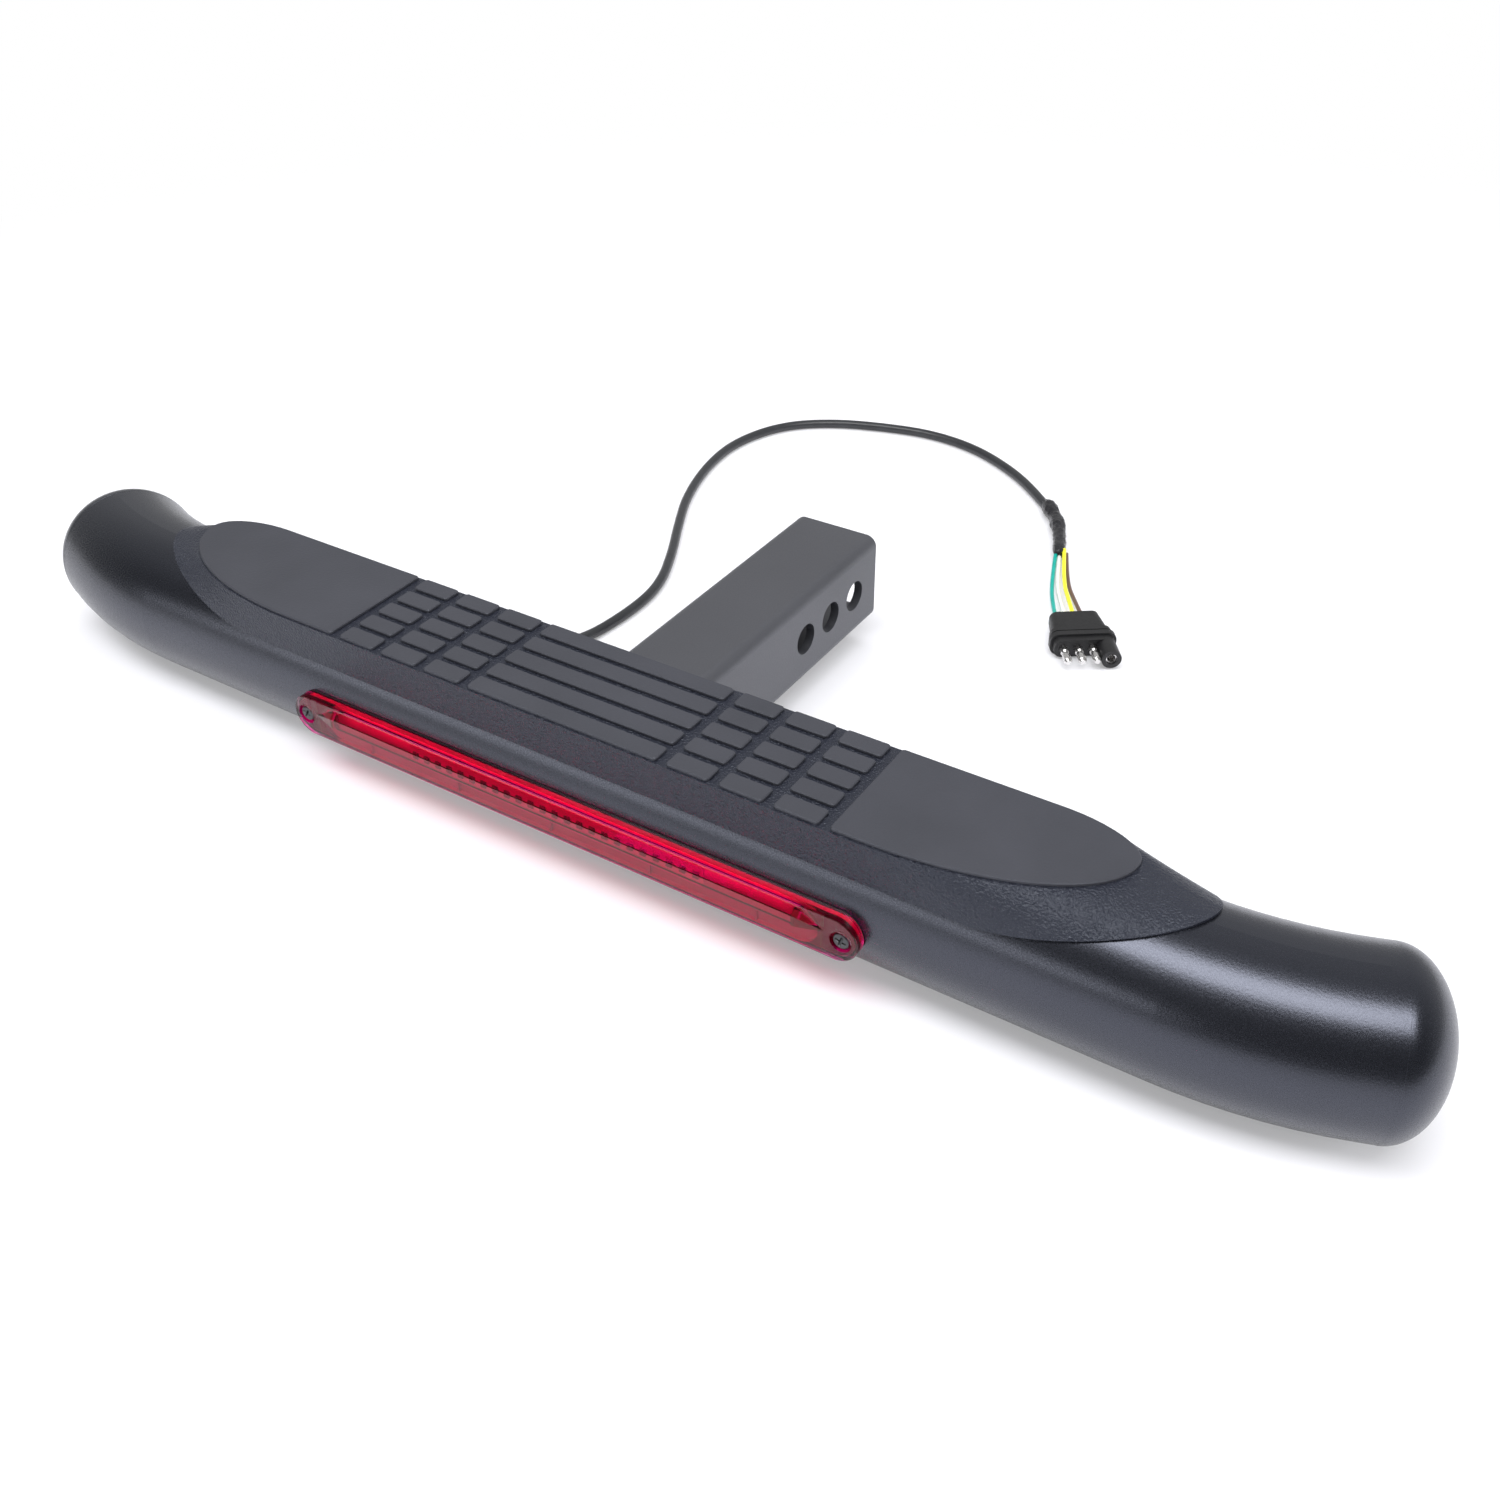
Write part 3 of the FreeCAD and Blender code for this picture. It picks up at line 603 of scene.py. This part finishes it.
plastics = {  # colour, roughness, grain scale, grain strength
    "lightHousing": ((0.34, 0.30, 0.32), 0.42, 900, 0.2),
    "gasketFoam": ((0.010, 0.010, 0.010), 0.85, 1600, 0.6),
    "boardDark": ((0.34, 0.30, 0.30), 0.45, 900, 0.15),
    "ledLens": ((0.04, 0.035, 0.03), 0.2, 900, 0.05),
    "cableJacket": ((0.024, 0.025, 0.028), 0.36, 1400, 0.15),
    "greenWire": ((0.0, 0.33, 0.28), 0.35, 1500, 0.08),
    "whiteWire": ((0.78, 0.78, 0.74), 0.35, 1500, 0.08),
    "yellowWire": ((0.80, 0.78, 0.03), 0.35, 1500, 0.08),
    "brownWire": ((0.10, 0.055, 0.045), 0.35, 1500, 0.08),
    "connectorRubber": ((0.010, 0.010, 0.011), 0.48, 1300, 0.3),
}
finishes = {name: mouldedPlastic(name, *values) for name, values in plastics.items()}

tray = {
    "bright": (0.85, 0.85, 0.85),
    # painted shade: the darker colour painted low in the tray and towards its ends
    "paintedShade": (0.24, 0.22, 0.23),
    "brightZ": 0.004,
    "paintedShadeZ": -0.002,
    "paintedShadeEnd": 0.133,
    "clearEnd": 0.122,
    "roughness": 0.25,
    "hazeScale": 300,
    "hazeStrength": 0.05,
    "hazeDepth": 0.0002,
}


def trayPlastic(look):
    # painted shade: bright along its upper edge, painted darker behind the lamps and towards its ends, where
    # little light reaches it
    material, shader = startMaterial("trayPlastic", look["bright"], look["roughness"])
    axes = addNode(material, "ShaderNodeSeparateXYZ")
    join(material, placeOf(material), axes.inputs["Vector"])
    height = rangeOf(material, axes.outputs["Z"], 0, 1, look["paintedShadeZ"], look["brightZ"])
    outward = mathOf(material, "ABSOLUTE", axes.outputs["X"])
    inside = rangeOf(material, outward, 0, 1, look["paintedShadeEnd"], look["clearEnd"])
    # painted shade: the colour runs from the painted shade up to the bright tray colour
    lit = mathOf(material, "MULTIPLY", height, inside)
    join(material, blendColours(material, lit, look["paintedShade"], look["bright"]), shader.inputs["Base Color"])
    haze = noiseOf(material, look["hazeScale"], 2)
    addBump(material, shader, [(haze, look["hazeStrength"], look["hazeDepth"])])
    return material


tapeLook = {
    "colour": (0.013, 0.013, 0.016),
    "roughness": 0.28,
    "smoother": 0.10,
    "rougher": 0.12,
    "speckleScale": 500,
    "windPitch": 0.006,
    "windDistortion": 4.0,
    "windDepth": 0.0004,
    "wrinkleScale": 900,
    "wrinkleDepth": 0.0003,
    "strength": 0.35,
}


def tapeFilm(look):
    material, shader = startMaterial("tapeFilm", look["colour"], look["roughness"])
    low, high = look["roughness"] - look["smoother"], look["roughness"] + look["rougher"]
    rough = rangeOf(material, noiseOf(material, look["speckleScale"], 3), low, high)
    join(material, rough, shader.inputs["Roughness"])
    winds = wavesOf(material, look["windPitch"], look["windDistortion"])
    wrinkles = noiseOf(material, look["wrinkleScale"], 3)
    addBump(material, shader, [(winds, look["strength"], look["windDepth"]),
                               (wrinkles, look["strength"], look["wrinkleDepth"])])
    return material


scratches = {"smoother": 0.08, "rougher": 0.10, "strength": 0.08, "depth": 0.0001}


def bareMetal(name, colour, roughness, scratchScale):
    material, shader = startMaterial(name, colour, roughness, 1.0)
    low, high = roughness - scratches["smoother"], roughness + scratches["rougher"]
    rough = rangeOf(material, noiseOf(material, scratchScale, 4), low, high)
    join(material, rough, shader.inputs["Roughness"])
    fine = noiseOf(material, scratchScale * 2, 2)
    addBump(material, shader, [(fine, scratches["strength"], scratches["depth"])])
    return material


metals = {  # colour, roughness, scratch scale
    "zincScrew": ((0.09, 0.09, 0.095), 0.34, 700),
    "silverContact": ((0.72, 0.71, 0.70), 0.24, 900),
}
finishes.update({name: bareMetal(name, *values) for name, values in metals.items()})
finishes.update({"bar": barCoat, "shank": shankCoat, "weld": weldMaterial, "pad": padMaterial,
                 "lens": lensMaterial, "tray": trayPlastic(tray), "tape": tapeFilm(tapeLook)})

nodeFinishes = {
    "bar_tube": "bar", "end_cap_left": "bar", "end_cap_right": "bar", "shank_tube": "shank",
    "shank_weld": "weld", "step_pad": "pad", "light_gasket": "gasketFoam", "light_base": "lightHousing",
    "light_lens": "lens", "light_reflector": "tray", "light_board": "boardDark",
    "light_leds": "ledLens", "light_screw_left": "zincScrew", "light_screw_right": "zincScrew",
    "light_lead": "cableJacket", "cable_grommet": "connectorRubber", "cable": "cableJacket",
    "tape_wrap": "tape", "wire_green": "greenWire", "wire_white": "whiteWire",
    "wire_yellow": "yellowWire", "wire_brown": "brownWire", "connector_body": "connectorRubber",
    "connector_pins": "silverContact", "socket_contact": "silverContact",
}


def dress(piece, material):
    piece.data.materials.clear()
    piece.data.materials.append(material)


for node, finish in nodeFinishes.items():
    dress(nodes[node], finishes[finish])
for piece in capWelds:
    dress(piece, finishes["bar"])
dress(cablePiece, finishes["cableJacket"])
dress(tapePiece, finishes["tape"])
for piece in screwPieces:
    dress(piece, finishes["zincScrew"])
for colour in wireColours:
    dress(wirePieces[colour], finishes[colour + "Wire"])
print("materials set")

# pale floor, white surroundings and soft lamps

studio = {
    "floorSize": 8.0,
    "floorGap": 0.0002,  # below the lowest point of the step
    "floorColour": (0.88, 0.88, 0.93),
    "floorRoughness": 0.8,
    "floorShown": 0.3,  # share of the floor near the step that reads as plain white
    "floorFade": (0.45, 1.1),  # metres from the middle, over which it all turns plain white
    "surroundings": 0.38,
    "backShade": 0.55,  # what gloss shows of the room behind the step
    "roomShade": 0.08,  # and in front of it
    "roomFacing": (0.25, -0.95, 0.15),
    "roomBlend": (-0.6, 0.4),  # from all back shade to all room shade
    "lamps": {
        "overhead": {"place": (0.1, -0.75, 1.9), "size": (2.6, 0.85), "power": 50, "inGloss": True},
        "front": {"place": (-0.9, -2.0, 0.45), "size": (1.8, 0.4), "power": 7, "inGloss": True},
        "back": {"place": (-0.2, 1.0, 1.7), "size": (1.4, 0.7), "power": 12, "inGloss": False},
        "side": {"place": (2.6, 0.4, 0.6), "size": (1.6, 1.6), "power": 46, "inGloss": False},
    },
    "aim": (0.0, -0.05, 0.0),
}


def seenDirectly(material):
    # one for rays from the camera, and for mirror and clear views
    rays = addNode(material, "ShaderNodeLightPath").outputs
    both = mathOf(material, "MAXIMUM", rays["Is Camera Ray"], rays["Is Glossy Ray"])
    return mathOf(material, "MAXIMUM", both, rays["Is Transmission Ray"])


def makeFloor(settings):
    material, shader = startMaterial("paleFloor", settings["floorColour"], settings["floorRoughness"])
    glow = addNode(material, "ShaderNodeEmission", Strength=1.0)
    glow.inputs["Color"].default_value = (1, 1, 1, 1)
    mix = addNode(material, "ShaderNodeMixShader")
    reach = addNode(material, "ShaderNodeVectorMath")
    reach.operation = "LENGTH"
    join(material, placeOf(material), reach.inputs[0])
    near, far = settings["floorFade"]
    shown = rangeOf(material, reach.outputs["Value"], settings["floorShown"], 1, near, far)
    join(material, mathOf(material, "MULTIPLY", seenDirectly(material), shown), mix.inputs["Fac"])
    join(material, shader.outputs["BSDF"], mix.inputs[1])
    join(material, glow.outputs["Emission"], mix.inputs[2])
    join(material, mix.outputs["Shader"], material.node_tree.nodes["Material Output"].inputs["Surface"])
    half = settings["floorSize"] / 2
    level = cadBox[0].z - settings["floorGap"]
    corners = [(x, y, level) for x, y in ((-half, -half), (half, -half), (half, half), (-half, half))]
    mesh = bpy.data.meshes.new("floor")
    mesh.from_pydata(corners, [], [(0, 1, 2, 3)])
    floor = bpy.data.objects.new("floor", mesh)
    bpy.context.scene.collection.objects.link(floor)
    dress(floor, material)


def makeSurroundings(settings):
    world = bpy.data.worlds.new("surroundings")
    world.use_nodes = True
    bpy.context.scene.world = world
    background = world.node_tree.nodes["Background"]
    background.inputs["Color"].default_value = (1, 1, 1, 1)
    rays = addNode(world, "ShaderNodeLightPath").outputs
    facing = addNode(world, "ShaderNodeVectorMath")
    facing.operation = "DOT_PRODUCT"
    facing.inputs[1].default_value = Vector(settings["roomFacing"]).normalized()
    join(world, addNode(world, "ShaderNodeTexCoord").outputs["Generated"], facing.inputs[0])
    shade = rangeOf(world, facing.outputs["Value"], settings["backShade"], settings["roomShade"],
                    *settings["roomBlend"])
    mirrored = addNode(world, "ShaderNodeMix")
    mirrored.inputs["A"].default_value = settings["surroundings"]
    join(world, rays["Is Glossy Ray"], mirrored.inputs["Factor"])
    join(world, shade, mirrored.inputs["B"])
    seen = addNode(world, "ShaderNodeMix")
    seen.inputs["B"].default_value = 1.0
    clear = mathOf(world, "MAXIMUM", rays["Is Camera Ray"], rays["Is Transmission Ray"])
    join(world, clear, seen.inputs["Factor"])
    join(world, mirrored.outputs["Result"], seen.inputs["A"])
    join(world, seen.outputs["Result"], background.inputs["Strength"])


def makeLamp(name, settings, aim):
    data = bpy.data.lights.new(name, "AREA")
    data.shape = "RECTANGLE"
    data.size, data.size_y = settings["size"]
    data.energy = settings["power"]
    lamp = bpy.data.objects.new(name, data)
    place = Vector(settings["place"])
    lamp.location = place
    lamp.visible_glossy = settings["inGloss"]
    lamp.rotation_mode = "QUATERNION"
    lamp.rotation_quaternion = (Vector(aim) - place).to_track_quat("-Z", "Y")
    bpy.context.scene.collection.objects.link(lamp)


makeFloor(studio)
makeSurroundings(studio)
for name, settings in studio["lamps"].items():
    makeLamp(name + "Lamp", settings, studio["aim"])
bpy.context.scene.view_settings.view_transform = "Standard"
print("studio lit")

bpy.context.view_layer.update()
